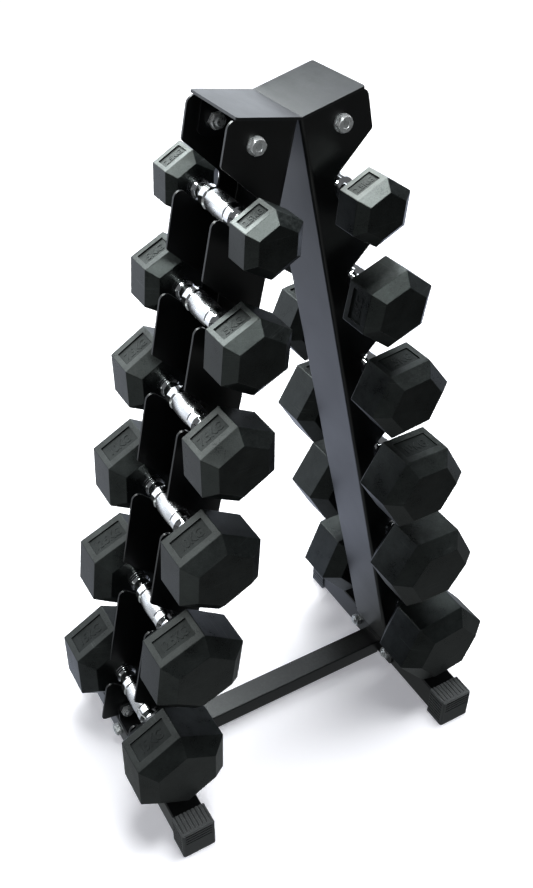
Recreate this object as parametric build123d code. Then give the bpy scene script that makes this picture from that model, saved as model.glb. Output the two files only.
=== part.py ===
from build123d import *
import os
from itertools import accumulate
from math import asin, atan2, cos, hypot, sin, sqrt, tan

# Six-pair A-frame rack for hex dumbbells, with the twelve dumbbells that it carries.
# Millimetres. X runs left to right, Y front (-) to back (+), Z up from the floor.
# Each side of the rack is drawn in "leg" axes: s runs down along the upright from the
# cap's valley, n runs straight out from the face of its web.

# ---- uprights: channels folded from sheet, web inwards, notched flanges outwards
SHEET = 3.0  # sheet thickness of uprights, cap, brackets and end plates
CHANNEL_DEPTH = 89.0  # over the two flanges, front to back
FLANGE_REACH = 83.0  # from the web's inner face to the flanges' outer edge
BEND_RADIUS = 4.5  # outside of the two folds
CAP_GAP = 1.0  # between the cap's underside and the uprights' top edge
TOP_CORNER = 10.0  # rounding of the flanges' top outer corner
BOTTOM_CORNER = 6.0  # rounding of the flanges' bottom outer corner
BOTTOM_GAP = 1.0  # between the uprights' bottom edge and the feet
WEB_INSET = 7.14  # from the foot's inner side in to the web's, at the bottom edge

# ---- saddles cut in the flanges: one for each tier, from the top
TOP_STEP = 104.0  # from the cap's valley down to the first notch's centre
TIER_STEPS = [125.0, 137.0, 157.5, 174.5, 193.5]  # from each notch's centre to the next
BOTTOM_STEP = 81.8  # from the last notch's centre to the uprights' bottom edge
NOTCH_REACH = 45.5  # n of each notch's centre
NOTCH_RADIUS = 17.5
MOUTH_RISE = 52.5  # from the notch's centre up to the mouth's outer corner
THROAT_RISE = 16.0  # from the notch's centre up to where the mouth meets the back wall
MOUTH_ROUND = 4.0
THROAT_ROUND = 10.0
TIP_RADIUS = 8.5  # full round on the end of each hook
TIP_DROP = 3.5  # from the notch's centre down to the top of the hook

# ---- top cap: a shallow V plate with four welded tabs inside the flanges
CAP_REACH = 77.0  # each wing's length from the valley
CAP_OVERHANG = 4.5  # past the outside of the flanges, front and back
CAP_CORNER = 2.5
TAB_IN = 27.0  # n of each tab's inner edge
TAB_OUT = 67.0  # n of each tab's outer edge
TAB_BELOW = 17.0  # tab left below the bolt's centre
TAB_ROUND = 8.0
TAB_GAP = 0.3  # between a tab and the flange that it lies against

# ---- fasteners
BOLT = 10.0
BOLT_GAP = 0.25  # all round, in every plain hole
HEAD_ACROSS = 17.0
HEAD_HEIGHT = 6.4
DISH_ACROSS = 10.0  # shallow dish in the face of each bolt's head
DISH_DEPTH = 0.6
NUT_ACROSS = 17.0
NUT_HEIGHT = 8.0
WASHER_ACROSS = 20.0
WASHER = 2.0
THREAD_END = 3.0  # bolt left past its nut
EDGE_EASE = 0.8  # chamfer on heads, nuts and bolt ends
TOP_BOLT_DEPTH = 29.0  # s of the bolts that hold the cap
TOP_BOLT_REACH = 47.0  # n of the same bolts
LOW_BOLT_RISE = 12.5  # from the uprights' bottom edge up to the bolts of the brackets
LOW_BOLT_REACH = 43.0

# ---- feet, their end caps and the crossbeam
FOOT_TRACK = 467.0  # between the feet's centre lines
FOOT_LENGTH = 377.0  # over the end caps
TUBE_WIDTH = 48.0
TUBE_HEIGHT = 48.0
TUBE_WALL = 2.0
TUBE_CORNER = 3.0
END_CAP_WIDTH = 53.0
END_CAP_LENGTH = 34.5
END_CAP_SOLE = 4.5  # under the tube
END_CAP_TOP = 4.0  # over the tube
END_CAP_WALL = 4.0  # across the tube's end
END_CAP_GAP = 0.15  # round the tube
END_CAP_EASE = 2.0
RIB_PITCH = 6.4
RIB_GROOVE = 2.6
RIB_DEPTH = 1.2
RIB_MARGIN = 5.0  # plain edge at both ends of the grooves
RIB_LOWEST = 30.0  # of the grooves across the front
BEAM_WIDTH = 37.0
BEAM_HEIGHT = 30.0
BEAM_LIFT = 2.0
BEAM_WALL = 2.0
BEAM_CORNER = 2.0
PLATE_HALF = 55.0  # half the length of each end plate, front to back
PLATE_EASE = 6.0
BEAM_BOLT_Y = 42.0  # from the middle of the beam
BRACKET_IN = 8.0  # from the foot's inner side to the bracket's
BRACKET_OUT = 2.0  # from the foot's outer side to the bracket's
BRACKET_ABOVE = 14.0  # tab left round the bolt's centre

# ---- dumbbells, by tier from the top
WEIGHTS = ["2p5kg", "5kg", "7p5kg", "10kg", "12p5kg", "15kg"]
HEAD_FLATS = [68.0, 85.0, 97.0, 112.0, 123.0, 134.0]  # across the hexagon's flats
HEAD_LENGTHS = [51.0, 63.5, 72.5, 82.5, 86.5, 93.0]
NECK_RADII = [9.5, 10.3, 11.0, 11.7, 12.1, 12.5]
GRIP_RADII = [14.0, 14.8, 15.4, 16.2, 16.8, 17.2]
LEFT_ROLLS = [-3.0, -5.0, 0.0, -3.5, -8.0, -1.5]  # how each one happens to lie, degrees
RIGHT_ROLLS = [-5.0, 50.5, -23.5, -30.0, 148.0, 98.5]
HALF_GRIP = 63.0  # from the middle of the handle to each head
HEAD_BEVEL_RUN = 0.14  # length of a head's bevels, as a share of its flats
HEAD_FACE = 0.67  # end face, as a share of the full hexagon
HEAD_ROUND = 1.6
LABEL_FACE = 120.0  # direction of the face that carries the label, before the roll
LABEL_SPAN = 0.76  # label panel across the dumbbell, as a share of its flat face
LABEL_ALONG = 0.6  # the same along the dumbbell
LABEL_DEPTH = 2.0
RUBBER_WALLS = [4.1, 3.3, 3.1, 5.5, 5.9, 7.5]  # rubber over the iron core of each head
SEAT_GAP = 0.3  # between a handle's neck and the bottom of its saddle
SPIGOT_STEP = 0.5  # neck radius less spigot radius
BODY_HALF = 20.0  # half the knurled middle of the grip
GROOVE_END = 24.0
COLLAR_END = 34.5
NECK_START = 38.5
NECK_END = 50.0
FLARE = 2.0  # from the neck out to the first ring
RING_COUNT = 3
RING_GAP = 1.6
RING_DEPTH = 1.2
GROOVE_DEPTH = 2.0
COLLAR_EASE = 1.2
RING_STEP = 1.0  # grip radius less ring radius
BARREL = 0.9  # how much the middle of the grip swells

# ---- sizes that follow from those above
HALF_CHANNEL = CHANNEL_DEPTH / 2
INSIDE_CHANNEL = HALF_CHANNEL - SHEET
TUBE_Z = END_CAP_SOLE
TUBE_TOP = TUBE_Z + TUBE_HEIGHT
FOOT_X = FOOT_TRACK / 2
FOOT_INNER = FOOT_X - TUBE_WIDTH / 2
FOOT_OUTER = FOOT_X + TUBE_WIDTH / 2
TOP_EDGE = SHEET + CAP_GAP
NOTCH_DEPTHS = list(accumulate([TOP_STEP] + TIER_STEPS))
BOTTOM_EDGE = NOTCH_DEPTHS[-1] + BOTTOM_STEP
# the webs start from the cap's valley and land just inside the feet
LEAN = asin((FOOT_INNER - WEB_INSET) / BOTTOM_EDGE)
SIN = sin(LEAN)
COS = cos(LEAN)
# the bottom edge is square to the lean, so it clears the foot where the foot begins
VALLEY_Z = BOTTOM_EDGE / COS - FOOT_INNER * tan(LEAN) + TUBE_TOP + BOTTOM_GAP
BRACKET_EDGE = FOOT_INNER + BRACKET_IN
LOW_BOLT_DEPTH = BOTTOM_EDGE - LOW_BOLT_RISE
HOLE_RADIUS = BOLT / 2 + BOLT_GAP
PLATE_INNER = FOOT_INNER - SHEET
BEAM_BOLT_Z = TUBE_Z + TUBE_HEIGHT / 2
TAB_FACE = INSIDE_CHANNEL - TAB_GAP
FRONT = Plane.XZ.location  # local x, y, z go to world X, Z and the front
SIDES = {"left": -1, "right": 1}


def leg_point(depth, reach):
    """World X and Z, on the right side, of a point at s, n."""
    x = depth * SIN + reach * COS
    z = VALLEY_Z - depth * COS + reach * SIN
    return x, z


# Local x, y, z of this location are s, n and the front, on the right-hand upright.
LEG = Plane(origin=(0, 0, VALLEY_Z), x_dir=(SIN, 0, -COS), z_dir=(0, -1, 0)).location


def on_side(shape, side):
    """A shape made for the right side, put on the side that is asked for."""
    return shape if side == "right" else mirror(shape, about=Plane.YZ)


def both_ends(shape):
    """A shape made at the front, with its copy at the back."""
    return [shape, mirror(shape, about=Plane.XZ)]


def group(shapes):
    """Separate solids kept together in one node."""
    return Compound(children=[solid for shape in shapes for solid in shape.solids()])


def write(name, shape):
    export_step(shape, f"parts/{name}.step")


# ---- outlines ------------------------------------------------------------------


def unit(start, end):
    length = hypot(end[0] - start[0], end[1] - start[1])
    return (end[0] - start[0]) / length, (end[1] - start[1]) / length


def rounded(before, corner, after, radius):
    """Start, middle and end of the arc that rounds a corner."""
    towards, away = unit(corner, before), unit(corner, after)
    cosine = towards[0] * away[0] + towards[1] * away[1]
    half_sine = sqrt((1 - cosine) / 2)
    half_cosine = sqrt((1 + cosine) / 2)
    setback = radius * half_cosine / half_sine
    bisector = unit((0, 0), (towards[0] + away[0], towards[1] + away[1]))
    middle = radius / half_sine - radius
    return (
        (corner[0] + towards[0] * setback, corner[1] + towards[1] * setback),
        (corner[0] + bisector[0] * middle, corner[1] + bisector[1] * middle),
        (corner[0] + away[0] * setback, corner[1] + away[1] * setback),
    )


def arc_middle(centre, radius, start, end):
    """Middle of the shorter arc between two points of a circle."""
    towards = unit(centre, ((start[0] + end[0]) / 2, (start[1] + end[1]) / 2))
    return centre[0] + towards[0] * radius, centre[1] + towards[1] * radius


class Outline:
    """A closed outline drawn point by point, with lines and arcs."""

    def __init__(self, start):
        self.start = start
        self.here = start
        self.edges = []

    def line(self, end):
        self.edges.append(Edge.make_line((*self.here, 0), (*end, 0)))
        self.here = end

    def arc(self, middle, end):
        self.edges.append(Edge.make_three_point_arc((*self.here, 0), (*middle, 0), (*end, 0)))
        self.here = end

    def corner(self, point, after, radius):
        start, middle, end = rounded(self.here, point, after, radius)
        self.line(start)
        self.arc(middle, end)

    def face(self):
        self.line(self.start)
        return Face(Wire(self.edges))


def saddle(outline, depth):
    """Mouth, notch and hook of one tier, from the flange's edge and back to it."""
    wall = NOTCH_REACH - NOTCH_RADIUS
    mouth = (depth - MOUTH_RISE, FLANGE_REACH)
    throat = (depth - THROAT_RISE, wall)
    back = (depth, wall)
    notch = (depth, NOTCH_REACH)
    tip = (depth + TIP_DROP + TIP_RADIUS, FLANGE_REACH - TIP_RADIUS)
    # the ramp is the line that touches the notch and the tip on opposite sides
    across = hypot(tip[0] - notch[0], tip[1] - notch[1])
    lift = sqrt(1 - ((NOTCH_RADIUS + TIP_RADIUS) / across) ** 2)
    turn = atan2(lift, (NOTCH_RADIUS + TIP_RADIUS) / across)
    slope = atan2(tip[0] - notch[0], tip[1] - notch[1]) + turn
    normal = (sin(slope), cos(slope))
    leave = (notch[0] + NOTCH_RADIUS * normal[0], notch[1] + NOTCH_RADIUS * normal[1])
    land = (tip[0] - TIP_RADIUS * normal[0], tip[1] - TIP_RADIUS * normal[1])
    lowest = (depth + NOTCH_RADIUS, NOTCH_REACH)
    outer = (tip[0], FLANGE_REACH)
    outline.corner(mouth, throat, MOUTH_ROUND)
    outline.corner(throat, back, THROAT_ROUND)
    outline.line(back)
    outline.arc(arc_middle(notch, NOTCH_RADIUS, back, lowest), lowest)
    outline.arc(arc_middle(notch, NOTCH_RADIUS, lowest, leave), leave)
    outline.line(land)
    outline.arc(arc_middle(tip, TIP_RADIUS, land, outer), outer)


def upright():
    """Right-hand upright, in leg axes with the front as local z."""
    outline = Outline((TOP_EDGE, 0))
    outline.corner((TOP_EDGE, FLANGE_REACH), (BOTTOM_EDGE, FLANGE_REACH), TOP_CORNER)
    for depth in NOTCH_DEPTHS:
        saddle(outline, depth)
    outline.corner((BOTTOM_EDGE, FLANGE_REACH), (BOTTOM_EDGE, 0), BOTTOM_CORNER)
    outline.line((BOTTOM_EDGE, 0))
    blank = extrude(outline.face(), HALF_CHANNEL, both=True)
    middle = (TOP_EDGE + BOTTOM_EDGE) / 2
    hollow = Pos(middle, SHEET + FLANGE_REACH / 2, 0) * Box(
        2 * BOTTOM_EDGE, FLANGE_REACH, 2 * INSIDE_CHANNEL
    )
    channel = blank - hollow
    folds = channel.edges().filter_by(Axis.X).filter_by(
        lambda edge: abs(edge.center().Y) < 0.1 and abs(abs(edge.center().Z) - HALF_CHANNEL) < 0.1
    )
    channel = fillet(folds, BEND_RADIUS)
    insides = channel.edges().filter_by(Axis.X).filter_by(
        lambda edge: abs(edge.center().Y - SHEET) < 0.1
        and abs(abs(edge.center().Z) - INSIDE_CHANNEL) < 0.1
    )
    channel = fillet(insides, BEND_RADIUS - SHEET)
    for depth, reach in (
        (TOP_BOLT_DEPTH, TOP_BOLT_REACH),
        (LOW_BOLT_DEPTH, LOW_BOLT_REACH),
    ):
        channel -= Pos(depth, reach, 0) * Cylinder(HOLE_RADIUS, 2 * CHANNEL_DEPTH)
    return LEG * channel


# ---- cap and brackets -----------------------------------------------------------


def cap_tab():
    """One tab under the right wing, at the front."""
    bottom = TOP_BOLT_DEPTH + TAB_BELOW
    outline = Outline((SHEET, TAB_IN))
    outline.line((SHEET, TAB_OUT))
    outline.corner((bottom, TAB_OUT), (bottom, TAB_IN), TAB_ROUND)
    outline.corner((bottom, TAB_IN), (SHEET, TAB_IN), TAB_ROUND)
    plate = Pos(0, 0, TAB_FACE - SHEET / 2) * extrude(outline.face(), SHEET / 2, both=True)
    plate -= Pos(TOP_BOLT_DEPTH, TOP_BOLT_REACH, TAB_FACE) * Cylinder(HOLE_RADIUS, 4 * SHEET)
    return LEG * plate


def top_cap():
    tip_x, tip_z = leg_point(0, CAP_REACH)
    under_x, under_z = leg_point(SHEET, CAP_REACH)
    outline = Outline((0, VALLEY_Z))
    for point in (
        (tip_x, tip_z),
        (under_x, under_z),
        (0, VALLEY_Z - SHEET / COS),
        (-under_x, under_z),
        (-tip_x, tip_z),
    ):
        outline.line(point)
    plate = FRONT * extrude(outline.face(), HALF_CHANNEL + CAP_OVERHANG, both=True)
    corners = plate.edges().filter_by(
        lambda edge: abs(edge.center().X) > CAP_REACH / 2
        and edge.length < 2 * SHEET
        and abs(abs(edge.center().Y) - HALF_CHANNEL - CAP_OVERHANG) < 0.1
    )
    plate = fillet(corners, CAP_CORNER)
    for tab in both_ends(cap_tab()):
        plate += [tab, mirror(tab, about=Plane.YZ)]
    return plate


def foot_bracket():
    """Bracket welded on the right foot: a base and two upstanding tabs."""
    inner = BRACKET_EDGE
    outer = FOOT_OUTER - BRACKET_OUT
    bolt_x, bolt_z = leg_point(LOW_BOLT_DEPTH, LOW_BOLT_REACH)
    top = bolt_z + BRACKET_ABOVE
    base = Pos((inner + outer) / 2, 0, TUBE_TOP + SHEET / 2) * Box(
        outer - inner, 2 * TAB_FACE, SHEET
    )
    outline = Outline((inner, TUBE_TOP + SHEET))
    outline.line((outer, TUBE_TOP + SHEET))
    outline.corner((outer, top), (inner, top), TAB_ROUND)
    outline.corner((inner, top), (inner, TUBE_TOP), TAB_ROUND)
    tab = Pos(0, 0, TAB_FACE - SHEET / 2) * extrude(outline.face(), SHEET / 2, both=True)
    tab -= Pos(bolt_x, bolt_z, TAB_FACE) * Cylinder(HOLE_RADIUS, 4 * SHEET)
    for each in both_ends(FRONT * tab):
        base += each
    return base


# ---- fasteners --------------------------------------------------------------------


def hexagon(across, height):
    """Hexagonal prism on the local XY plane, with eased corners at its free end."""
    prism = extrude(RegularPolygon(across / 2, 6, major_radius=False), height)
    cone = Cone(
        across / 2 + height - EDGE_EASE / 2,
        across / 2 - EDGE_EASE / 2,
        height,
        align=(Align.CENTER, Align.CENTER, Align.MIN),
    )
    return prism & cone


def disc(radius, height):
    return Cylinder(radius, height, align=(Align.CENTER, Align.CENTER, Align.MIN))


def bolt(grip):
    """Bolt along local z: the head's underside at 0, the head above it."""
    length = grip + NUT_HEIGHT + THREAD_END
    shank = Pos(0, 0, -length) * disc(BOLT / 2, length)
    shank = chamfer(shank.edges().group_by(Axis.Z)[0], EDGE_EASE)
    dish = Pos(0, 0, HEAD_HEIGHT) * Cone(
        DISH_ACROSS / 2 - 2 * DISH_DEPTH, DISH_ACROSS / 2, 2 * DISH_DEPTH
    )
    return shank + hexagon(HEAD_ACROSS, HEAD_HEIGHT) - dish


def nut():
    """Nut along local z, seated at 0 and standing down from it."""
    body = Rot(180, 0, 0) * hexagon(NUT_ACROSS, NUT_HEIGHT)
    return body - Cylinder(BOLT / 2, 4 * NUT_HEIGHT)


def washer():
    return disc(WASHER_ACROSS / 2, WASHER) - Cylinder(HOLE_RADIUS, 4 * WASHER)


def sheet_joint(location, grip):
    """Bolt, nut and washer of one joint whose outer face is at the location."""
    head = location * Pos(0, 0, WASHER) * bolt(grip + WASHER)
    seat = location * washer()
    back = location * Pos(0, 0, -grip) * nut()
    return {"bolts": head, "washers": seat, "nuts": back}


def flange_joints(depth, reach):
    """The four joints between the flanges and what lies inside them."""
    x, z = leg_point(depth, reach)
    front = sheet_joint(FRONT * Location((x, z, HALF_CHANNEL)), 2 * SHEET + TAB_GAP)
    return spread(front)


def beam_joints():
    """The four joints that clamp the crossbeam's end plates to the feet."""
    place = Location((FOOT_OUTER, -BEAM_BOLT_Y, BEAM_BOLT_Z), (0, 90, 0))
    return spread(sheet_joint(place, TUBE_WIDTH + SHEET))


def spread(joint):
    """One joint at the front right, copied to the back and to the left."""
    return {
        kind: [copy for end in both_ends(piece) for copy in (end, mirror(end, about=Plane.YZ))]
        for kind, piece in joint.items()
    }


# ---- base -------------------------------------------------------------------------


def box_tube(width, height, length, wall, corner):
    """Square tube along local z, centred on its axis."""
    outer = RectangleRounded(width, height, corner)
    inner = RectangleRounded(width - 2 * wall, height - 2 * wall, corner - wall / 2)
    return extrude(outer - inner, length / 2, both=True)


def foot():
    """Right foot: a tube along Y, drilled across for the crossbeam's bolts."""
    length = FOOT_LENGTH - 2 * END_CAP_WALL
    tube = box_tube(TUBE_WIDTH, TUBE_HEIGHT, length, TUBE_WALL, TUBE_CORNER)
    tube = Pos(FOOT_X, 0, TUBE_Z + TUBE_HEIGHT / 2) * FRONT * tube
    for y in (-BEAM_BOLT_Y, BEAM_BOLT_Y):
        tube -= Pos(FOOT_X, y, BEAM_BOLT_Z) * Rot(0, 90, 0) * Cylinder(
            HOLE_RADIUS, 2 * TUBE_WIDTH
        )
    return tube


def rib_places(low, high):
    """Centres of the grooves that fit between two heights or widths, kept in the middle."""
    count = int((high - low - RIB_GROOVE) / RIB_PITCH) + 1
    return [(low + high) / 2 + (index - (count - 1) / 2) * RIB_PITCH for index in range(count)]


def end_cap():
    """Ribbed plastic cap on the front end of the right foot."""
    height = END_CAP_SOLE + TUBE_HEIGHT + END_CAP_TOP
    end = -FOOT_LENGTH / 2
    middle = end + END_CAP_LENGTH / 2
    body = Pos(FOOT_X, middle, height / 2) * Box(END_CAP_WIDTH, END_CAP_LENGTH, height)
    eased = body.edges().filter_by(
        lambda edge: edge.center().Y < middle + 0.1 and edge.center().Z > height * 0.4
    )
    body = chamfer(eased, END_CAP_EASE)
    socket = Pos(FOOT_X, end + END_CAP_WALL + END_CAP_LENGTH / 2, TUBE_Z + TUBE_HEIGHT / 2)
    body -= socket * Box(
        TUBE_WIDTH + 2 * END_CAP_GAP, END_CAP_LENGTH, TUBE_HEIGHT + 2 * END_CAP_GAP
    )
    run = END_CAP_LENGTH - RIB_MARGIN
    half = END_CAP_WIDTH / 2
    for x in rib_places(FOOT_X - half + END_CAP_EASE, FOOT_X + half - END_CAP_EASE):
        body -= Pos(x, end + RIB_MARGIN + run, height) * Box(RIB_GROOVE, 2 * run, 2 * RIB_DEPTH)
    for z in rib_places(RIB_MARGIN, height - RIB_MARGIN):
        for x in (FOOT_X - half, FOOT_X + half):
            body -= Pos(x, end + RIB_MARGIN + run, z) * Box(2 * RIB_DEPTH, 2 * run, RIB_GROOVE)
    for z in rib_places(RIB_LOWEST, height - END_CAP_EASE):
        body -= Pos(FOOT_X, end, z) * Box(
            END_CAP_WIDTH - 2 * RIB_MARGIN, 2 * RIB_DEPTH, RIB_GROOVE
        )
    return body


def crossbeam():
    tube = box_tube(BEAM_WIDTH, BEAM_HEIGHT, 2 * PLATE_INNER, BEAM_WALL, BEAM_CORNER)
    return Pos(0, 0, BEAM_LIFT + BEAM_HEIGHT / 2) * Rot(0, 0, 90) * FRONT * tube


def end_plate():
    """Plate welded on the crossbeam's right end."""
    bottom = TUBE_Z + TUBE_CORNER
    top = TUBE_TOP - TUBE_CORNER
    plate = Pos(PLATE_INNER + SHEET / 2, 0, (bottom + top) / 2) * Box(
        SHEET, 2 * PLATE_HALF, top - bottom
    )
    plate = fillet(plate.edges().filter_by(Axis.X), PLATE_EASE)
    for y in (-BEAM_BOLT_Y, BEAM_BOLT_Y):
        plate -= Pos(PLATE_INNER, y, BEAM_BOLT_Z) * Rot(0, 90, 0) * Cylinder(
            HOLE_RADIUS, 4 * SHEET
        )
    return plate


# ---- dumbbells ----------------------------------------------------------------------


def seat_point(tier):
    """World X and Z of a handle's centre, lying in its saddle on the right side."""
    x, z = leg_point(NOTCH_DEPTHS[tier], NOTCH_REACH)
    return x, z - (NOTCH_RADIUS - NECK_RADII[tier] - SEAT_GAP)


def head_slice(flats, height):
    return Pos(0, 0, height) * RegularPolygon(flats / 2, 6, major_radius=False, rotation=30)


def head_prism(flats, start, end):
    """Hexagonal prism with both ends bevelled, standing point up."""
    run = flats * HEAD_BEVEL_RUN
    face = flats * HEAD_FACE
    return (
        loft([head_slice(face, start), head_slice(flats, start + run)], ruled=True)
        + loft([head_slice(flats, start + run), head_slice(flats, end - run)], ruled=True)
        + loft([head_slice(flats, end - run), head_slice(face, end)], ruled=True)
    )


def head_core(tier):
    """Iron core of the front head in view axes, the rubber's thickness inside it."""
    wall = RUBBER_WALLS[tier]
    end = HALF_GRIP + HEAD_LENGTHS[tier] - wall
    return head_prism(HEAD_FLATS[tier] - 2 * wall, HALF_GRIP + wall, end)


def head(tier):
    """Rubber of the front head in view axes: its inner face at local z HALF_GRIP."""
    flats = HEAD_FLATS[tier]
    length = HEAD_LENGTHS[tier]
    straight = length - 2 * flats * HEAD_BEVEL_RUN
    body = head_prism(flats, HALF_GRIP, HALF_GRIP + length)
    body = fillet(body.edges(), HEAD_ROUND)
    side = flats / sqrt(3)
    panel = Rot(0, 0, LABEL_FACE) * Pos(flats / 2, 0, HALF_GRIP + length / 2) * Box(
        2 * LABEL_DEPTH, side * LABEL_SPAN, straight * LABEL_ALONG
    )
    body -= panel
    body -= head_core(tier)
    body -= Pos(0, 0, HALF_GRIP) * disc(NECK_RADII[tier] - SPIGOT_STEP, length / 2)
    return body


def ring_points(tier):
    """Profile of the rings beside the head, from the neck outwards."""
    neck, ring = NECK_RADII[tier], GRIP_RADII[tier] - RING_STEP
    first = NECK_END + FLARE
    valley = ring - RING_DEPTH
    pitch = (HALF_GRIP - first + RING_GAP) / RING_COUNT
    points = [(neck, NECK_END)]
    for index in range(RING_COUNT):
        low = first + index * pitch
        high = low + pitch - RING_GAP
        points += [(valley, low), (ring, low), (ring, high), (valley, high)]
    return points


def bar(tier):
    """Chromed handle in view axes, in one piece with the cores of both heads."""
    neck, grip = NECK_RADII[tier], GRIP_RADII[tier]
    spigot = neck - SPIGOT_STEP
    reach = HALF_GRIP + HEAD_LENGTHS[tier] / 2
    outline = Outline((0, 0))
    outline.line((grip, 0))
    outline.arc((grip - BARREL / 4, BODY_HALF / 2), (grip - BARREL, BODY_HALF))
    for point in (
        (grip - GROOVE_DEPTH, BODY_HALF + COLLAR_EASE),
        (grip - GROOVE_DEPTH, GROOVE_END - COLLAR_EASE),
        (grip - COLLAR_EASE, GROOVE_END - COLLAR_EASE),
        (grip, GROOVE_END),
        (grip, COLLAR_END - COLLAR_EASE),
        (grip - COLLAR_EASE, COLLAR_END),
        (neck, NECK_START),
    ):
        outline.line(point)
    for point in ring_points(tier):
        outline.line(point)
    outline.line((spigot, HALF_GRIP))
    outline.line((spigot, reach))
    outline.line((0, reach))
    half = revolve(Plane.XZ * outline.face(), Axis.Z) + head_core(tier)
    return half + mirror(half, about=Plane.XY)


def dumbbell(tier, side, roll):
    x, z = seat_point(tier)
    place = FRONT * Location((SIDES[side] * x, z, 0), (0, 0, roll))
    front_head = place * head(tier)
    name = f"{side}_{WEIGHTS[tier]}"
    write(f"{name}_bar", place * bar(tier))
    write(f"{name}_front_head", front_head)
    write(f"{name}_rear_head", mirror(front_head, about=Plane.XZ))


# ---- everything -----------------------------------------------------------------------


def main():
    os.makedirs("parts", exist_ok=True)
    write("top_cap", top_cap())
    for side in SIDES:
        write(f"{side}_upright", on_side(upright(), side))
        write(f"{side}_foot", on_side(foot(), side))
        write(f"{side}_foot_bracket", on_side(foot_bracket(), side))
        front_cap, rear_cap = both_ends(end_cap())
        write(f"{side}_front_end_cap", on_side(front_cap, side))
        write(f"{side}_rear_end_cap", on_side(rear_cap, side))
    write("crossbeam", crossbeam())
    write("beam_end_plates", group([end_plate(), on_side(end_plate(), "left")]))
    joints = {
        "cap": flange_joints(TOP_BOLT_DEPTH, TOP_BOLT_REACH),
        "bracket": flange_joints(LOW_BOLT_DEPTH, LOW_BOLT_REACH),
        "beam": beam_joints(),
    }
    for place, joint in joints.items():
        for kind, pieces in joint.items():
            write(f"{place}_{kind}", group(pieces))
    for tier in range(len(WEIGHTS)):
        dumbbell(tier, "left", LEFT_ROLLS[tier])
        dumbbell(tier, "right", RIGHT_ROLLS[tier])


main()
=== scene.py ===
from math import cos, radians, sin

import bpy
from mathutils import Matrix, Vector


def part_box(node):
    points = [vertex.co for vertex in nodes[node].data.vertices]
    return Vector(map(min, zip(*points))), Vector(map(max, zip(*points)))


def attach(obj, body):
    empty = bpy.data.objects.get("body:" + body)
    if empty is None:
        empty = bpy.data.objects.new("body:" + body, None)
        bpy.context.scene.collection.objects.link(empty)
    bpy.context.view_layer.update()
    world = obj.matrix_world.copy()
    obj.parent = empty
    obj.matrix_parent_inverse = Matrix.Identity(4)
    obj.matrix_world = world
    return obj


# Blender dressing of the six-pair dumbbell rack. Metres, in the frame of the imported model:
# X left to right, Y front (-) to back (+), Z up from the floor.

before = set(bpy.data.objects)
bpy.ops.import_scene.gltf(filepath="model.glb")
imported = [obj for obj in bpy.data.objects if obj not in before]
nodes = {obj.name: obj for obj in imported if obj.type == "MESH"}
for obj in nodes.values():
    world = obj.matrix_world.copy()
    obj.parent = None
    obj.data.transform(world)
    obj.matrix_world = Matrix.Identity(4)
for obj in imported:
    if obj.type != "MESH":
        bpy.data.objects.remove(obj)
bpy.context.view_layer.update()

SIDES = ["left", "right"]
WEIGHTS = ["2p5kg", "5kg", "7p5kg", "10kg", "12p5kg", "15kg"]
FIGURES = ["2.5KG", "5KG", "7.5KG", "10KG", "12.5KG", "15KG"]

# ---- the dumbbells' own sizes, by weight
HEAD_FLATS = [0.068, 0.085, 0.097, 0.112, 0.123, 0.134]
LEFT_ROLLS = [-3.0, -5.0, 0.0, -3.5, -8.0, -1.5]
RIGHT_ROLLS = [-5.0, 50.5, -23.5, -30.0, 148.0, 98.5]
LEFT_BLOOM_AND_HIGHLIGHT = [0.34, 0.05, 0.20, 0.03, 0.02, 0.02]  # grey film on the rubber's upper faces, partly rubber bloom and partly a painted highlight
RIGHT_BLOOM_AND_HIGHLIGHT = [0.85, 0.06, 0.03, 0.03, 0.02, 0.0]
BEVEL_RUN = 0.14
LABEL_FACE = 120.0
LABEL_SPAN = 0.76
LABEL_ALONG = 0.6
LABEL_DEPTH = 0.002
LETTER_RISE = 0.0006  # lettering stands this far out of the label's floor
LETTER_TALL = 0.5  # share of the label that the lettering fills along the head
LETTER_WIDE = 0.66  # and across it
LONG_LETTER_WIDE = 0.78  # and across it, for the figures with a point
HALF_GRIP = 0.063

# ---- the dumbbells' finish
TOP_DUST = 0.30  # dust on the lightest pair
DUST_STEP = 0.05  # less of it on each pair below
KNURL_HALF = 0.0195  # half the knurled length of each grip
KNURL_TURNS = 40.0  # diamonds round the grip
KNURL_SLOPE = 3000.0  # radians of knurling to a metre of grip
HATCH_SLOPE = 4200.0  # radians of hatching to a metre of label

# ---- wear that the powder coats share
POWDER_GRAIN_SCALE = 850.0
POWDER_WEAR = (0.0011, 0.4, (0.09, 0.093, 0.1, 1))  # radius, share and colour of rubbed edges
POWDER_DUST = (0.16, 0.165, 0.175, 1)

# ---- how much light the floor throws back at the rack, from in front of it to behind it
FLOOR_THROW = [
    (0.0, (0.19, 0.195, 0.195, 1)),
    (0.12, (0.14, 0.145, 0.145, 1)),
    (0.21, (0.27, 0.285, 0.285, 1)),
    (0.33, (0.22, 0.235, 0.24, 1)),
    (0.53, (0.50, 0.52, 0.54, 1)),
    (0.66, (0.56, 0.59, 0.63, 1)),
    (1.0, (0.9, 0.95, 1.05, 1)),
]

# ---- how brightly the floor glows, from well in front of the rack to well behind it
FLOOR_GLOW = [
    (0.0, (0.0, 0.0, 0.0, 1)),
    (0.22, (0.15, 0.15, 0.15, 1)),
    (0.34, (0.26, 0.26, 0.28, 1)),
    (0.50, (0.29, 0.29, 0.31, 1)),
    (1.0, (0.80, 0.80, 0.81, 1)),
]

FLOOR_SIDE = 14.0
FLOOR_DROP = 0.0005  # clear of the end caps' soles
BLACK = (0.0, 0.0, 0.0, 1)
COOL = (0.87, 0.93, 1.0)
PALE = (0.93, 1.0, 0.99)

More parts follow.
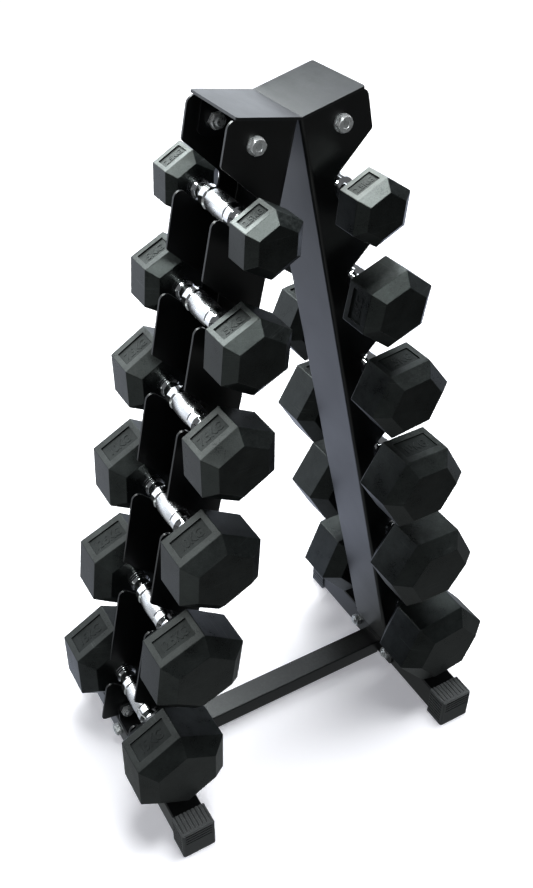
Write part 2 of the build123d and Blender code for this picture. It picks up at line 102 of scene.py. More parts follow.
# ---- view
CAMERA_PLACE = (-0.5363, -0.8672, 1.3811)
CAMERA_YAW = radians(24.24)
CAMERA_PITCH = radians(39.21)
CAMERA_ROLL = radians(-4.10)
SENSOR_HEIGHT = 24.0
LENS = 26.53
LENS_SHIFT = 0.1053


# ---- material tools ------------------------------------------------------------------


def new_material(name):
    """A material with its Principled shader, ready to be wired."""
    material = bpy.data.materials.new(name)
    material.use_nodes = True
    tree = material.node_tree
    shader = tree.nodes["Principled BSDF"]
    return material, tree, shader


def group(name, inputs, outputs):
    """An empty shader group with its sockets; inputs map a name to (type, default)."""
    tree = bpy.data.node_groups.new(name, "ShaderNodeTree")
    for socket, (kind, default) in inputs.items():
        made = tree.interface.new_socket(socket, in_out="INPUT", socket_type=kind)
        if default is not None:
            made.default_value = default
    for socket, kind in outputs.items():
        tree.interface.new_socket(socket, in_out="OUTPUT", socket_type=kind)
    start = tree.nodes.new("NodeGroupInput")
    end = tree.nodes.new("NodeGroupOutput")
    return tree, start, end


def place_group(tree, made, **values):
    node = tree.nodes.new("ShaderNodeGroup")
    node.node_tree = made
    for socket, value in values.items():
        node.inputs[socket.replace("_", " ")].default_value = value
    return node


def noise(tree, vector, scale, detail=2.0, roughness=0.5):
    node = tree.nodes.new("ShaderNodeTexNoise")
    node.inputs["Detail"].default_value = detail
    node.inputs["Roughness"].default_value = roughness
    if isinstance(scale, (int, float)):
        node.inputs["Scale"].default_value = scale
    else:
        tree.links.new(scale, node.inputs["Scale"])
    tree.links.new(vector, node.inputs["Vector"])
    return node.outputs["Fac"]


def math(tree, operation, first, second=None, third=None, clamp=False):
    node = tree.nodes.new("ShaderNodeMath")
    node.operation = operation
    node.use_clamp = clamp
    for slot, value in enumerate((first, second, third)):
        if value is None:
            continue
        if isinstance(value, (int, float)):
            node.inputs[slot].default_value = value
        else:
            tree.links.new(value, node.inputs[slot])
    return node.outputs[0]


def remap(tree, value, low, high, new_low, new_high):
    node = tree.nodes.new("ShaderNodeMapRange")
    node.clamp = True
    for socket, number in (
        ("From Min", low),
        ("From Max", high),
        ("To Min", new_low),
        ("To Max", new_high),
    ):
        if isinstance(number, (int, float)):
            node.inputs[socket].default_value = number
        else:
            tree.links.new(number, node.inputs[socket])
    tree.links.new(value, node.inputs["Value"])
    return node.outputs["Result"]


def mix(tree, share, first, second):
    node = tree.nodes.new("ShaderNodeMix")
    node.data_type = "RGBA"
    for socket, value in ((0, share), (6, first), (7, second)):
        if hasattr(value, "is_linked"):
            tree.links.new(value, node.inputs[socket])
        else:
            node.inputs[socket].default_value = value
    return node.outputs[2]


def colour_ramp(tree, share, stops):
    node = tree.nodes.new("ShaderNodeValToRGB")
    ramp = node.color_ramp
    for index, (place, colour) in enumerate(stops):
        stop = ramp.elements[index] if index < 2 else ramp.elements.new(place)
        stop.position = place
        stop.color = colour
    tree.links.new(share, node.inputs[0])
    return node.outputs["Color"]


def bump(tree, shader, height, strength, distance):
    """Gives a shader the relief of a height."""
    node = tree.nodes.new("ShaderNodeBump")
    node.inputs["Strength"].default_value = strength
    node.inputs["Distance"].default_value = distance
    tree.links.new(height, node.inputs["Height"])
    tree.links.new(node.outputs["Normal"], shader.inputs["Normal"])


def position(tree, place=(0, 0, 0), turn=0.0):
    """Object coordinates, measured from a place and turned about the Y axis."""
    coordinates = tree.nodes.new("ShaderNodeTexCoord")
    mapping = tree.nodes.new("ShaderNodeMapping")
    mapping.vector_type = "TEXTURE"
    mapping.inputs["Location"].default_value = place
    mapping.inputs["Rotation"].default_value = (0, turn, 0)
    tree.links.new(coordinates.outputs["Object"], mapping.inputs["Vector"])
    return mapping.outputs["Vector"]


# ---- shared surface groups ---------------------------------------------------------------


def powder_grain_group():
    """Fine orange peel of a powder coat, with the cloudy sheen that handling leaves."""
    tree, start, end = group(
        "powder_grain",
        {"Vector": ("NodeSocketVector", None), "Grain": ("NodeSocketFloat", 900.0)},
        {"Height": "NodeSocketFloat", "Cloud": "NodeSocketFloat"},
    )
    vector = start.outputs["Vector"]
    fine = noise(tree, vector, start.outputs["Grain"], 2.0, 0.6)
    broad = noise(tree, vector, 14.0, 4.0, 0.6)
    tree.links.new(fine, end.inputs["Height"])
    tree.links.new(broad, end.inputs["Cloud"])
    return tree


def worn_edge_group():
    """Mask of the outer edges, broken up by noise, where a coat has rubbed thin."""
    tree, start, end = group(
        "worn_edge",
        {"Vector": ("NodeSocketVector", None), "Radius": ("NodeSocketFloat", 0.0012)},
        {"Mask": "NodeSocketFloat"},
    )
    bevel = tree.nodes.new("ShaderNodeBevel")
    bevel.samples = 4
    tree.links.new(start.outputs["Radius"], bevel.inputs["Radius"])
    geometry = tree.nodes.new("ShaderNodeNewGeometry")
    turned = tree.nodes.new("ShaderNodeVectorMath")
    turned.operation = "DOT_PRODUCT"
    tree.links.new(bevel.outputs["Normal"], turned.inputs[0])
    tree.links.new(geometry.outputs["True Normal"], turned.inputs[1])
    edge = remap(tree, turned.outputs["Value"], 0.995, 0.86, 0.0, 1.0)
    patches = remap(tree, noise(tree, start.outputs["Vector"], 55.0, 3.0), 0.35, 0.65, 0.35, 1.0)
    tree.links.new(math(tree, "MULTIPLY", edge, patches), end.inputs["Mask"])
    return tree


def settled_dust_group():
    """Mask of pale dust: more on faces that look up, in soft patches."""
    tree, start, end = group(
        "settled_dust",
        {"Vector": ("NodeSocketVector", None), "Amount": ("NodeSocketFloat", 0.3)},
        {"Mask": "NodeSocketFloat"},
    )
    geometry = tree.nodes.new("ShaderNodeNewGeometry")
    parts = tree.nodes.new("ShaderNodeSeparateXYZ")
    tree.links.new(geometry.outputs["Normal"], parts.inputs[0])
    upward = remap(tree, parts.outputs["Z"], 0.1, 1.0, 0.0, 1.0)
    vector = start.outputs["Vector"]
    specks = remap(tree, noise(tree, vector, 260.0, 4.0, 0.7), 0.42, 0.75, 0.0, 1.0)
    clouds = remap(tree, noise(tree, vector, 22.0, 3.0), 0.3, 0.75, 0.2, 1.0)
    mask = math(tree, "MULTIPLY", math(tree, "MULTIPLY", upward, specks), clouds)
    tree.links.new(math(tree, "MULTIPLY", mask, start.outputs["Amount"]), end.inputs["Mask"])
    return tree


def cast_rubber_group():
    """Mottled, faintly pitted skin of moulded rubber."""
    tree, start, end = group(
        "cast_rubber",
        {"Vector": ("NodeSocketVector", None), "Pitch": ("NodeSocketFloat", 1.0)},
        {"Height": "NodeSocketFloat", "Mottle": "NodeSocketFloat"},
    )
    vector = start.outputs["Vector"]
    pits = noise(tree, vector, math(tree, "MULTIPLY", start.outputs["Pitch"], 820.0), 3.0, 0.65)
    lumps = noise(tree, vector, math(tree, "MULTIPLY", start.outputs["Pitch"], 130.0), 3.0, 0.6)
    clouds = noise(tree, vector, 38.0, 4.0, 0.6)
    height = math(tree, "MULTIPLY_ADD", lumps, 0.7, math(tree, "MULTIPLY", pits, 0.6))
    mottle = math(tree, "MULTIPLY_ADD", clouds, 0.55, math(tree, "MULTIPLY", pits, 0.45))
    tree.links.new(height, end.inputs["Height"])
    tree.links.new(mottle, end.inputs["Mottle"])
    return tree


def scuff_lines_group():
    """Thin pale scuffs where heads have rubbed past each other, in a few slanting runs."""
    tree, start, end = group(
        "scuff_lines",
        {"Vector": ("NodeSocketVector", None), "Amount": ("NodeSocketFloat", 0.5)},
        {"Mask": "NodeSocketFloat"},
    )
    runs = []
    for slant, stretch in ((0.6, (14.0, 14.0, 950.0)), (-0.9, (11.0, 11.0, 700.0))):
        mapping = tree.nodes.new("ShaderNodeMapping")
        mapping.inputs["Rotation"].default_value = (0.25, slant, 0.3)
        mapping.inputs["Scale"].default_value = stretch
        tree.links.new(start.outputs["Vector"], mapping.inputs["Vector"])
        drawn_out = noise(tree, mapping.outputs["Vector"], 1.0, 2.0)
        runs.append(remap(tree, drawn_out, 0.66, 0.74, 0.0, 1.0))
    lines = math(tree, "MAXIMUM", runs[0], runs[1])
    patches = remap(tree, noise(tree, start.outputs["Vector"], 19.0, 2.0), 0.48, 0.62, 0.0, 1.0)
    mask = math(tree, "MULTIPLY", lines, patches)
    tree.links.new(math(tree, "MULTIPLY", mask, start.outputs["Amount"]), end.inputs["Mask"])
    return tree


def knurl_group():
    """Diamond knurling round the Y axis, kept to the middle of the grip."""
    tree, start, end = group(
        "knurl",
        {
            "Vector": ("NodeSocketVector", None),
            "Turns": ("NodeSocketFloat", KNURL_TURNS),
            "Half Length": ("NodeSocketFloat", KNURL_HALF),
        },
        {"Height": "NodeSocketFloat", "Band": "NodeSocketFloat"},
    )
    parts = tree.nodes.new("ShaderNodeSeparateXYZ")
    tree.links.new(start.outputs["Vector"], parts.inputs[0])
    angle = math(tree, "ARCTAN2", parts.outputs["Z"], parts.outputs["X"])
    around = math(tree, "MULTIPLY", angle, start.outputs["Turns"])
    along = math(tree, "MULTIPLY", parts.outputs["Y"], KNURL_SLOPE)
    one = math(tree, "SINE", math(tree, "ADD", around, along))
    other = math(tree, "SINE", math(tree, "SUBTRACT", around, along))
    diamonds = math(tree, "MINIMUM", one, other)
    away = math(tree, "ABSOLUTE", parts.outputs["Y"])
    past = math(tree, "SUBTRACT", away, start.outputs["Half Length"])
    band = remap(tree, past, -0.0006, 0.0002, 1.0, 0.0)
    tree.links.new(math(tree, "MULTIPLY", diamonds, band), end.inputs["Height"])
    tree.links.new(band, end.inputs["Band"])
    return tree


def label_floor_group():
    """Sunk floor of a head's label panel, with the fine hatching that it is cast with.

    Its vector is measured from the dumbbell's centre, with X straight out of the panel.
    """
    tree, start, end = group(
        "label_floor",
        {
            "Vector": ("NodeSocketVector", None),
            "Outward": ("NodeSocketFloat", 0.05),
            "Middle": ("NodeSocketFloat", 0.1),
            "Half Across": ("NodeSocketFloat", 0.02),
            "Half Along": ("NodeSocketFloat", 0.01),
        },
        {"Mask": "NodeSocketFloat", "Height": "NodeSocketFloat"},
    )
    parts = tree.nodes.new("ShaderNodeSeparateXYZ")
    tree.links.new(start.outputs["Vector"], parts.inputs[0])
    over = math(tree, "SUBTRACT", parts.outputs["X"], start.outputs["Outward"])
    sunk = remap(tree, math(tree, "ABSOLUTE", over), 0.0011, 0.0015, 1.0, 0.0)
    across = math(tree, "ABSOLUTE", parts.outputs["Z"])
    beside = math(tree, "SUBTRACT", across, start.outputs["Half Across"])
    along = math(tree, "ABSOLUTE", parts.outputs["Y"])
    from_middle = math(tree, "SUBTRACT", along, start.outputs["Middle"])
    off_middle = math(tree, "ABSOLUTE", from_middle)
    past = math(tree, "SUBTRACT", off_middle, start.outputs["Half Along"])
    inside = remap(tree, math(tree, "MAXIMUM", beside, past), 0.0, 0.0004, 1.0, 0.0)
    mask = math(tree, "MULTIPLY", sunk, inside)
    hatch = math(tree, "SINE", math(tree, "MULTIPLY", parts.outputs["Y"], HATCH_SLOPE))
    shallow = math(tree, "MULTIPLY", hatch, 0.15)
    tree.links.new(mask, end.inputs["Mask"])
    tree.links.new(math(tree, "MULTIPLY", shallow, mask), end.inputs["Height"])
    return tree


POWDER_GRAIN = powder_grain_group()
WORN_EDGE = worn_edge_group()
SETTLED_DUST = settled_dust_group()
CAST_RUBBER = cast_rubber_group()
SCUFF_LINES = scuff_lines_group()
KNURL = knurl_group()
LABEL_FLOOR = label_floor_group()


# ---- materials ------------------------------------------------------------------------------


def rub_edges(tree, vector, base, radius, share, colour):
    """A base colour whose outer edges are rubbed some way towards another colour."""
    wear = place_group(tree, WORN_EDGE, Radius=radius)
    tree.links.new(vector, wear.inputs["Vector"])
    return mix(tree, math(tree, "MULTIPLY", wear.outputs["Mask"], share), base, colour)


def lay_dust(tree, vector, base, amount, colour):
    """A base colour with pale dust settled on what looks up."""
    dust = place_group(tree, SETTLED_DUST, Amount=amount)
    tree.links.new(vector, dust.inputs["Vector"])
    return mix(tree, dust.outputs["Mask"], base, colour)


def powder_coat(name, coat, sheen, roughness):
    """Black powder coat on folded sheet or tube."""
    material, tree, shader = new_material(name)
    vector = position(tree)
    grain = place_group(tree, POWDER_GRAIN, Grain=POWDER_GRAIN_SCALE)
    tree.links.new(vector, grain.inputs["Vector"])
    cloud = remap(tree, grain.outputs["Cloud"], 0.3, 0.7, 0.0, 1.0)
    base = mix(tree, cloud, coat, sheen)
    rubbed = rub_edges(tree, vector, base, *POWDER_WEAR)
    dusty = lay_dust(tree, vector, rubbed, 0.1, POWDER_DUST)
    tree.links.new(dusty, shader.inputs["Base Color"])
    shader.inputs["Specular IOR Level"].default_value = 0.5
    gloss = remap(tree, grain.outputs["Cloud"], 0.3, 0.7, roughness - 0.02, roughness + 0.03)
    tree.links.new(gloss, shader.inputs["Roughness"])
    bump(tree, shader, grain.outputs["Height"], 0.12, 0.0002)
    return material


def cap_coat():
    """The frame's powder coat as it lies on the cap: hazed in soft streaks by hands."""
    material, tree, shader = new_material("cap_powder_coat")
    vector = position(tree)
    grain = place_group(tree, POWDER_GRAIN, Grain=POWDER_GRAIN_SCALE)
    tree.links.new(vector, grain.inputs["Vector"])
    coat = (0.0058, 0.0062, 0.0071, 1)
    sheen = (0.0085, 0.0092, 0.0104, 1)
    base = mix(tree, grain.outputs["Cloud"], coat, sheen)
    rubbed = rub_edges(tree, vector, base, *POWDER_WEAR)
    dusty = lay_dust(tree, vector, rubbed, 0.08, POWDER_DUST)
    tree.links.new(dusty, shader.inputs["Base Color"])
    # the wing away from the hand is hazier, most of all towards its back
    parts = tree.nodes.new("ShaderNodeSeparateXYZ")
    tree.links.new(vector, parts.inputs[0])
    stretch = tree.nodes.new("ShaderNodeVectorMath")
    stretch.operation = "MULTIPLY"
    stretch.inputs[1].default_value = (1.0, 0.35, 1.0)
    tree.links.new(vector, stretch.inputs[0])
    streaks = noise(tree, stretch.outputs["Vector"], 26.0, 4.0, 0.62)
    across = remap(tree, parts.outputs["X"], -0.004, 0.012, 0.0, 1.0)
    shifted = math(tree, "ADD", parts.outputs["Y"], math(tree, "MULTIPLY", streaks, 0.11))
    back = remap(tree, shifted, 0.0, 0.125, 0.0, 1.0)
    haze = math(tree, "MULTIPLY", across, back)
    streaky = remap(tree, streaks, 0.3, 0.7, 0.54, 0.46)
    level = math(tree, "SUBTRACT", streaky, math(tree, "MULTIPLY", haze, 0.36))
    tree.links.new(level, shader.inputs["Specular IOR Level"])
    gloss = remap(tree, streaks, 0.3, 0.7, 0.29, 0.35)
    dulled = math(tree, "MULTIPLY_ADD", haze, 0.08, gloss)
    tree.links.new(dulled, shader.inputs["Roughness"])
    bump(tree, shader, grain.outputs["Height"], 0.12, 0.0002)
    return material


def moulded_plastic():
    """Matte black plastic of the feet's end caps, scuffed pale along its ribs, with painted shade
    in the hollows between them.
    """
    material, tree, shader = new_material("moulded_plastic")
    vector = position(tree)
    grain = place_group(tree, POWDER_GRAIN, Grain=1300.0)
    tree.links.new(vector, grain.inputs["Vector"])
    base = mix(tree, grain.outputs["Cloud"], (0.045, 0.048, 0.050, 1), (0.078, 0.084, 0.086, 1))
    rubbed = rub_edges(tree, vector, base, 0.0016, 0.8, (0.20, 0.21, 0.215, 1))
    # painted shade: an ambient occlusion mask darkens the hollows between the ribs
    openness = tree.nodes.new("ShaderNodeAmbientOcclusion")
    openness.samples = 6
    openness.inputs["Distance"].default_value = 0.004
    hollow_shade = remap(tree, openness.outputs["AO"], 0.45, 0.85, 1.0, 0.0)
    shaded = mix(tree, hollow_shade, rubbed, (0.003, 0.003, 0.003, 1))
    dusty = lay_dust(tree, vector, shaded, 0.2, (0.2, 0.2, 0.2, 1))
    tree.links.new(dusty, shader.inputs["Base Color"])
    shader.inputs["Specular IOR Level"].default_value = 0.5
    shader.inputs["Roughness"].default_value = 0.48
    bump(tree, shader, grain.outputs["Height"], 0.25, 0.0002)
    return material


def bright_zinc():
    """Bright plated steel of the bolts, nuts and washers, with the plating's milky bloom."""
    material, tree, shader = new_material("bright_zinc")
    vector = position(tree)
    smears = noise(tree, vector, 240.0, 3.0)
    base = mix(tree, smears, (0.60, 0.62, 0.62, 1), (0.84, 0.86, 0.87, 1))
    tree.links.new(base, shader.inputs["Base Color"])
    shader.inputs["Metallic"].default_value = 0.6
    tree.links.new(remap(tree, smears, 0.3, 0.7, 0.22, 0.38), shader.inputs["Roughness"])
    bump(tree, shader, noise(tree, vector, 900.0, 2.0), 0.08, 0.0002)
    return material


def grip_chrome(name, place):
    """Polished chrome with a knurled middle, round an axis along Y through a place."""
    material, tree, shader = new_material(name)
    vector = position(tree, place)
    knurl = place_group(tree, KNURL, Turns=KNURL_TURNS)
    tree.links.new(vector, knurl.inputs["Vector"])
    smears = noise(tree, vector, 90.0, 3.0)
    bright = mix(tree, smears, (0.86, 0.87, 0.88, 1), (0.94, 0.945, 0.95, 1))
    valley = remap(tree, knurl.outputs["Height"], -0.9, -0.2, 0.06, 0.0)
    grimy = math(tree, "MULTIPLY", valley, knurl.outputs["Band"])
    base = mix(tree, grimy, bright, (0.4, 0.4, 0.41, 1))
    tree.links.new(base, shader.inputs["Base Color"])
    shader.inputs["Metallic"].default_value = 1.0
    polish = remap(tree, smears, 0.3, 0.7, 0.05, 0.11)
    rough = math(tree, "MULTIPLY_ADD", knurl.outputs["Band"], 0.2, polish)
    tree.links.new(rough, shader.inputs["Roughness"])
    bump(tree, shader, knurl.outputs["Height"], 0.08, 0.0004)
    return material


def head_rubber(name, dust, bloom_and_highlight, place, label_angle, flats, middle, panel):
    """Moulded black rubber of one dumbbell, with some dust and a grey film on its top faces,
    partly rubber bloom and partly a painted highlight.

    The label's floor is hatched and duller, and painted darker as shade: panel gives its two
    sides, and middle the distance from the handle's centre to the middle of each head.
    """
    material, tree, shader = new_material(name)
    vector = position(tree)
    skin = place_group(tree, CAST_RUBBER, Pitch=1.0)
    scuffs = place_group(tree, SCUFF_LINES, Amount=0.4)
    for node in (skin, scuffs):
        tree.links.new(vector, node.inputs["Vector"])
    label = place_group(
        tree,
        LABEL_FLOOR,
        Outward=flats / 2 - LABEL_DEPTH,
        Middle=middle,
        Half_Across=panel[0] / 2,
        Half_Along=panel[1] / 2,
    )
    tree.links.new(position(tree, place, -label_angle), label.inputs["Vector"])
    mottle = skin.outputs["Mottle"]
    cloud = remap(tree, mottle, 0.35, 0.65, 0.0, 1.0)
    base = mix(tree, cloud, (0.0036, 0.0047, 0.0047, 1), (0.0080, 0.0098, 0.0098, 1))
    rubbed = rub_edges(tree, vector, base, 0.0016, 0.3, (0.095, 0.105, 0.106, 1))
    scuffed = mix(tree, scuffs.outputs["Mask"], rubbed, (0.085, 0.095, 0.096, 1))
    dusty = lay_dust(tree, vector, scuffed, dust, (0.17, 0.19, 0.19, 1))
    # the grey film, partly rubber bloom and partly a painted highlight, lies on the faces that
    # look up and to the front left
    facing = tree.nodes.new("ShaderNodeVectorMath")
    facing.operation = "DOT_PRODUCT"
    facing.inputs[1].default_value = (-0.4, -0.35, 0.85)
    geometry = tree.nodes.new("ShaderNodeNewGeometry")
    tree.links.new(geometry.outputs["Normal"], facing.inputs[0])
    upward = remap(tree, facing.outputs["Value"], 0.6, 0.9, 0.0, bloom_and_highlight)
    patches = remap(tree, mottle, 0.35, 0.6, 0.6, 1.0)
    bloom_and_highlight_mask = math(tree, "MULTIPLY", upward, patches)
    bloomed_and_highlit = mix(tree, bloom_and_highlight_mask, dusty, (0.26, 0.285, 0.275, 1))
    # painted shade: the label's floor is pulled most of the way to a plain dark rubber, without
    # the dust and grey film
    recess_shade = math(tree, "MULTIPLY", label.outputs["Mask"], 0.65)
    sunk = mix(tree, recess_shade, bloomed_and_highlit, (0.0062, 0.0076, 0.0076, 1))
    tree.links.new(sunk, shader.inputs["Base Color"])
    level = remap(tree, mottle, 0.35, 0.65, 0.30, 0.50)
    lowered = math(tree, "MULTIPLY_ADD", label.outputs["Mask"], -0.14, level)
    tree.links.new(lowered, shader.inputs["Specular IOR Level"])
    shader.inputs["Specular Tint"].default_value = (0.92, 1.0, 0.97, 1)
    gloss = remap(tree, mottle, 0.35, 0.65, 0.25, 0.40)
    dulled = math(tree, "MULTIPLY_ADD", label.outputs["Mask"], 0.10, gloss)
    tree.links.new(dulled, shader.inputs["Roughness"])
    height = math(tree, "ADD", skin.outputs["Height"], label.outputs["Height"])
    bump(tree, shader, height, 0.26, 0.0004)
    return material


def paint(node, material):
    """Gives a CAD node one material in every slot."""
    slots = nodes[node].data.materials
    if not slots:
        slots.append(material)
    for index in range(len(slots)):
        slots[index] = material


# ---- new pieces ---------------------------------------------------------------------------


def deselect():
    if bpy.context.object and bpy.context.object.mode != "OBJECT":
        bpy.ops.object.mode_set(mode="OBJECT")
    bpy.ops.object.select_all(action="DESELECT")


def apply_place(piece):
    deselect()
    piece.select_set(True)
    bpy.context.view_layer.objects.active = piece
    bpy.ops.object.transform_apply(location=True, rotation=True, scale=True)


def weight_lettering(name, figure, centre, normal_angle, flats, span, rubber):
    """Raised figures on a head's label panel, read from the outer end of the head."""
    deselect()
    bpy.ops.object.text_add()
    piece = bpy.context.object
    piece.name = name
    text = piece.data
    text.body = figure
    text.align_x = "CENTER"
    text.align_y = "CENTER"
    text.size = 1.0
    text.offset = 0.018
    text.extrude = 0.5
    text.resolution_u = 4
    bpy.context.view_layer.update()
    wide, tall, _ = piece.dimensions
    deselect()
    piece.select_set(True)
    bpy.context.view_layer.objects.active = piece
    bpy.ops.object.convert(target="MESH")
    low = Vector(map(min, zip(*(vertex.co for vertex in piece.data.vertices))))
    high = Vector(map(max, zip(*(vertex.co for vertex in piece.data.vertices))))
    middle = (low + high) / 2
    out = Vector((cos(normal_angle), 0, sin(normal_angle)))
    along = Vector((sin(normal_angle), 0, -cos(normal_angle)))
    up = Vector((0, 1, 0))
    # it is centred on the label's floor, so half of its thickness is sunk
    thickness = LETTER_RISE * 2
    floor = centre + out * (flats / 2 - LABEL_DEPTH)
    turn = Matrix((along, up, out)).transposed().to_4x4()
    grow = Matrix.Diagonal((span[0] / wide, span[1] / tall, thickness, 1))
    piece.matrix_world = Matrix.Translation(floor) @ turn @ grow @ Matrix.Translation(-middle)
    apply_place(piece)
    piece.data.materials.clear()
    piece.data.materials.append(rubber)
    return piece


# ---- dressing the rack ------------------------------------------------------------------------


def dress_rack():
    frame_paint = powder_coat(
        "frame_powder_coat", (0.0025, 0.0028, 0.0032, 1), (0.0037, 0.0041, 0.0047, 1), 0.32
    )
    cap_paint = cap_coat()
    plastic = moulded_plastic()
    zinc = bright_zinc()
    paint("top_cap", cap_paint)
    for side in SIDES:
        paint(f"{side}_upright", frame_paint)
        paint(f"{side}_foot", frame_paint)
        paint(f"{side}_foot_bracket", frame_paint)
        paint(f"{side}_front_end_cap", plastic)
        paint(f"{side}_rear_end_cap", plastic)
    paint("crossbeam", frame_paint)
    paint("beam_end_plates", frame_paint)
    for place in ("cap", "bracket", "beam"):
        for kind in ("bolts", "washers", "nuts"):
            paint(f"{place}_{kind}", zinc)


def dress_dumbbells():
    for side, rolls, blooms_and_highlights in (
        ("left", LEFT_ROLLS, LEFT_BLOOM_AND_HIGHLIGHT),
        ("right", RIGHT_ROLLS, RIGHT_BLOOM_AND_HIGHLIGHT),
    ):
        for tier, weight in enumerate(WEIGHTS):
            name = f"{side}_{weight}"
            low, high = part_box(f"{name}_bar")
            centre = (low + high) / 2
            paint(f"{name}_bar", grip_chrome(f"{name}_chrome", centre))
            label_angle = radians(LABEL_FACE + rolls[tier])
            flats = HEAD_FLATS[tier]
            low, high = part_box(f"{name}_front_head")
            length = high.y - low.y
            straight = length - 2 * flats * BEVEL_RUN
            panel = (flats / 3**0.5 * LABEL_SPAN, straight * LABEL_ALONG)
            rubber = head_rubber(
                f"{name}_rubber",
                TOP_DUST - DUST_STEP * tier,
                blooms_and_highlights[tier],
                centre,
                label_angle,
                flats,
                HALF_GRIP + length / 2,
                panel,
            )
            wide = LONG_LETTER_WIDE if "." in FIGURES[tier] else LETTER_WIDE
            span = (panel[0] * wide, panel[1] * LETTER_TALL)
            for end in ("front", "rear"):
                head = f"{name}_{end}_head"
                paint(head, rubber)
                low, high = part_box(head)
                middle = Vector((centre.x, (low.y + high.y) / 2, centre.z))
                letters = weight_lettering(
                    f"{head}_figures", FIGURES[tier], middle, label_angle, flats, span, rubber
                )
                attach(letters, f"{name}_dumbbell")


# ---- room, lights and camera -------------------------------------------------------------------


def floor_and_room():
    deselect()
    bpy.ops.mesh.primitive_plane_add(size=FLOOR_SIDE, location=(0, 0, -FLOOR_DROP))
    floor = bpy.context.object
    floor.name = "studio_floor"
    apply_place(floor)
    material, tree, shader = new_material("floor_white")
    # the sweep is white to look at, but throws little light back up at the rack
    seen = tree.nodes.new("ShaderNodeLightPath").outputs["Is Camera Ray"]
    parts = tree.nodes.new("ShaderNodeSeparateXYZ")
    tree.links.new(position(tree), parts.inputs[0])
    depth = remap(tree, parts.outputs["Y"], -1.0, 2.0, 0.0, 1.0)
    thrown = colour_ramp(tree, depth, FLOOR_THROW)
    # in front of the rack it falls off to the right
    ahead = remap(tree, parts.outputs["Y"], -0.1, 0.1, 1.0, 0.0)
    rightward = remap(tree, parts.outputs["X"], -0.2, 0.8, 0.0, 0.5)
    thrown = mix(tree, math(tree, "MULTIPLY", rightward, ahead), thrown, BLACK)
    # between and behind the feet it is brighter
    between = remap(tree, parts.outputs["X"], -0.55, -0.2, 0.0, 1.0)
    behind = remap(tree, parts.outputs["Y"], 0.02, 0.2, 0.0, 0.85)
    thrown = mix(tree, math(tree, "MULTIPLY", between, behind), thrown, (0.74, 0.81, 1.0, 1))
    sweep = mix(tree, seen, BLACK, (0.90, 0.91, 0.94, 1))
    tree.links.new(sweep, shader.inputs["Base Color"])
    shader.inputs["Roughness"].default_value = 0.9
    shader.inputs["Specular IOR Level"].default_value = 0.0
    distance = remap(tree, parts.outputs["Y"], -2.0, 3.0, 0.0, 1.0)
    glow = colour_ramp(tree, distance, FLOOR_GLOW)
    lit = mix(tree, seen, thrown, glow)
    tree.links.new(lit, shader.inputs["Emission Color"])
    shader.inputs["Emission Strength"].default_value = 1.0
    floor.data.materials.append(material)
    world = bpy.data.worlds.new("studio_world")
    bpy.context.scene.world = world
    world.use_nodes = True
    background = world.node_tree.nodes["Background"]
    background.inputs["Color"].default_value = (0.93, 0.96, 1.0, 1)
    background.inputs["Strength"].default_value = 0.12


def area_light(name, place, target, size, power, colour=(1, 1, 1)):
    """A rectangular light that faces a target and isn't seen itself."""
    light = bpy.data.lights.new(name, "AREA")
    light.shape = "RECTANGLE"
    light.size, light.size_y = size
    light.energy = power
    light.color = colour
    lamp = bpy.data.objects.new(name, light)
    bpy.context.scene.collection.objects.link(lamp)
    lamp.visible_camera = False
    lamp.location = place
    lamp.rotation_euler = (Vector(target) - Vector(place)).to_track_quat("-Z", "Y").to_euler()
    return lamp


def panel(name, place, target, size, power, colour=(1, 1, 1)):
    """A light that is only mirrored in surfaces."""
    lamp = area_light(name, place, target, size, power, colour)
    lamp.visible_diffuse = False


def softbox(name, place, target, size, power):
    """A light that isn't mirrored in any surface."""
    lamp = area_light(name, place, target, size, power)
    lamp.visible_glossy = False


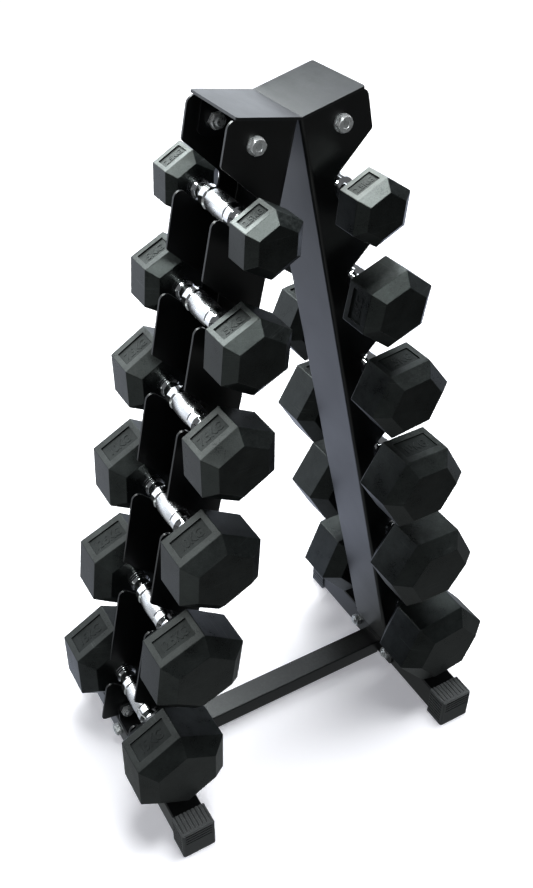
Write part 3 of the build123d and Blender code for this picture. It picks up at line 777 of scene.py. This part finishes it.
def lights():
    panel("front_panel", (-0.2, -1.1, 1.9), (0, 0, 0.95), (0.9, 0.25), 11, PALE)
    panel("back_panel", (-0.07, 0.95, 1.95), (0, 0, 0.95), (0.8, 0.5), 24, PALE)
    panel("left_panel", (-1.0, -0.85, 0.05), (-1.0, -0.85, 2.0), (0.9, 1.1), 1.8, PALE)
    panel("rear_low_panel", (1.4, 2.6, 1.55), (1.4, 0, 1.55), (2.0, 1.2), 7, COOL)
    panel("rear_high_panel", (0.9, 2.6, 3.5), (0.9, 0, 2.4), (1.6, 0.8), 12, COOL)
    panel("rear_left_wall", (-2.35, 3.2, 1.6), (-2.35, 0, 1.6), (5.1, 2.8), 56, COOL)
    panel("rear_right_wall", (1.65, 3.2, 1.1), (1.65, 0, 1.1), (2.9, 1.8), 21, COOL)
    panel("upper_wall", (-2.1, 3.2, 3.9), (-2.1, 0, 3.9), (4.0, 1.8), 56)
    panel("ceiling_panel", (-1.2, 1.9, 3.3), (-0.3, 0, 0.4), (2.6, 1.4), 10)
    softbox("rear_softbox", (0.9, 1.5, 2.6), (0, 0, 0.6), (1.3, 1.0), 38)
    softbox("top_softbox", (0.48, 0.15, 3.0), (0, 0, 0.4), (1.5, 1.5), 150)
    softbox("left_softbox", (-2.6, 0.4, 1.9), (0, 0, 0.7), (1.6, 1.8), 24)


def camera():
    lens = bpy.data.cameras.new("view")
    lens.sensor_fit = "VERTICAL"
    lens.sensor_height = SENSOR_HEIGHT
    lens.lens = LENS
    lens.shift_x = LENS_SHIFT
    viewer = bpy.data.objects.new("view", lens)
    bpy.context.scene.collection.objects.link(viewer)
    forward = Vector(
        (
            sin(CAMERA_YAW) * cos(CAMERA_PITCH),
            cos(CAMERA_YAW) * cos(CAMERA_PITCH),
            -sin(CAMERA_PITCH),
        )
    )
    level = Vector((cos(CAMERA_YAW), -sin(CAMERA_YAW), 0))
    upright = level.cross(forward)
    right = level * cos(CAMERA_ROLL) + upright * sin(CAMERA_ROLL)
    up = upright * cos(CAMERA_ROLL) - level * sin(CAMERA_ROLL)
    turn = Matrix((right, up, -forward)).transposed().to_4x4()
    viewer.matrix_world = Matrix.Translation(CAMERA_PLACE) @ turn
    bpy.context.scene.camera = viewer


dress_rack()
dress_dumbbells()
floor_and_room()
lights()
camera()
bpy.context.scene.view_settings.view_transform = "Standard"
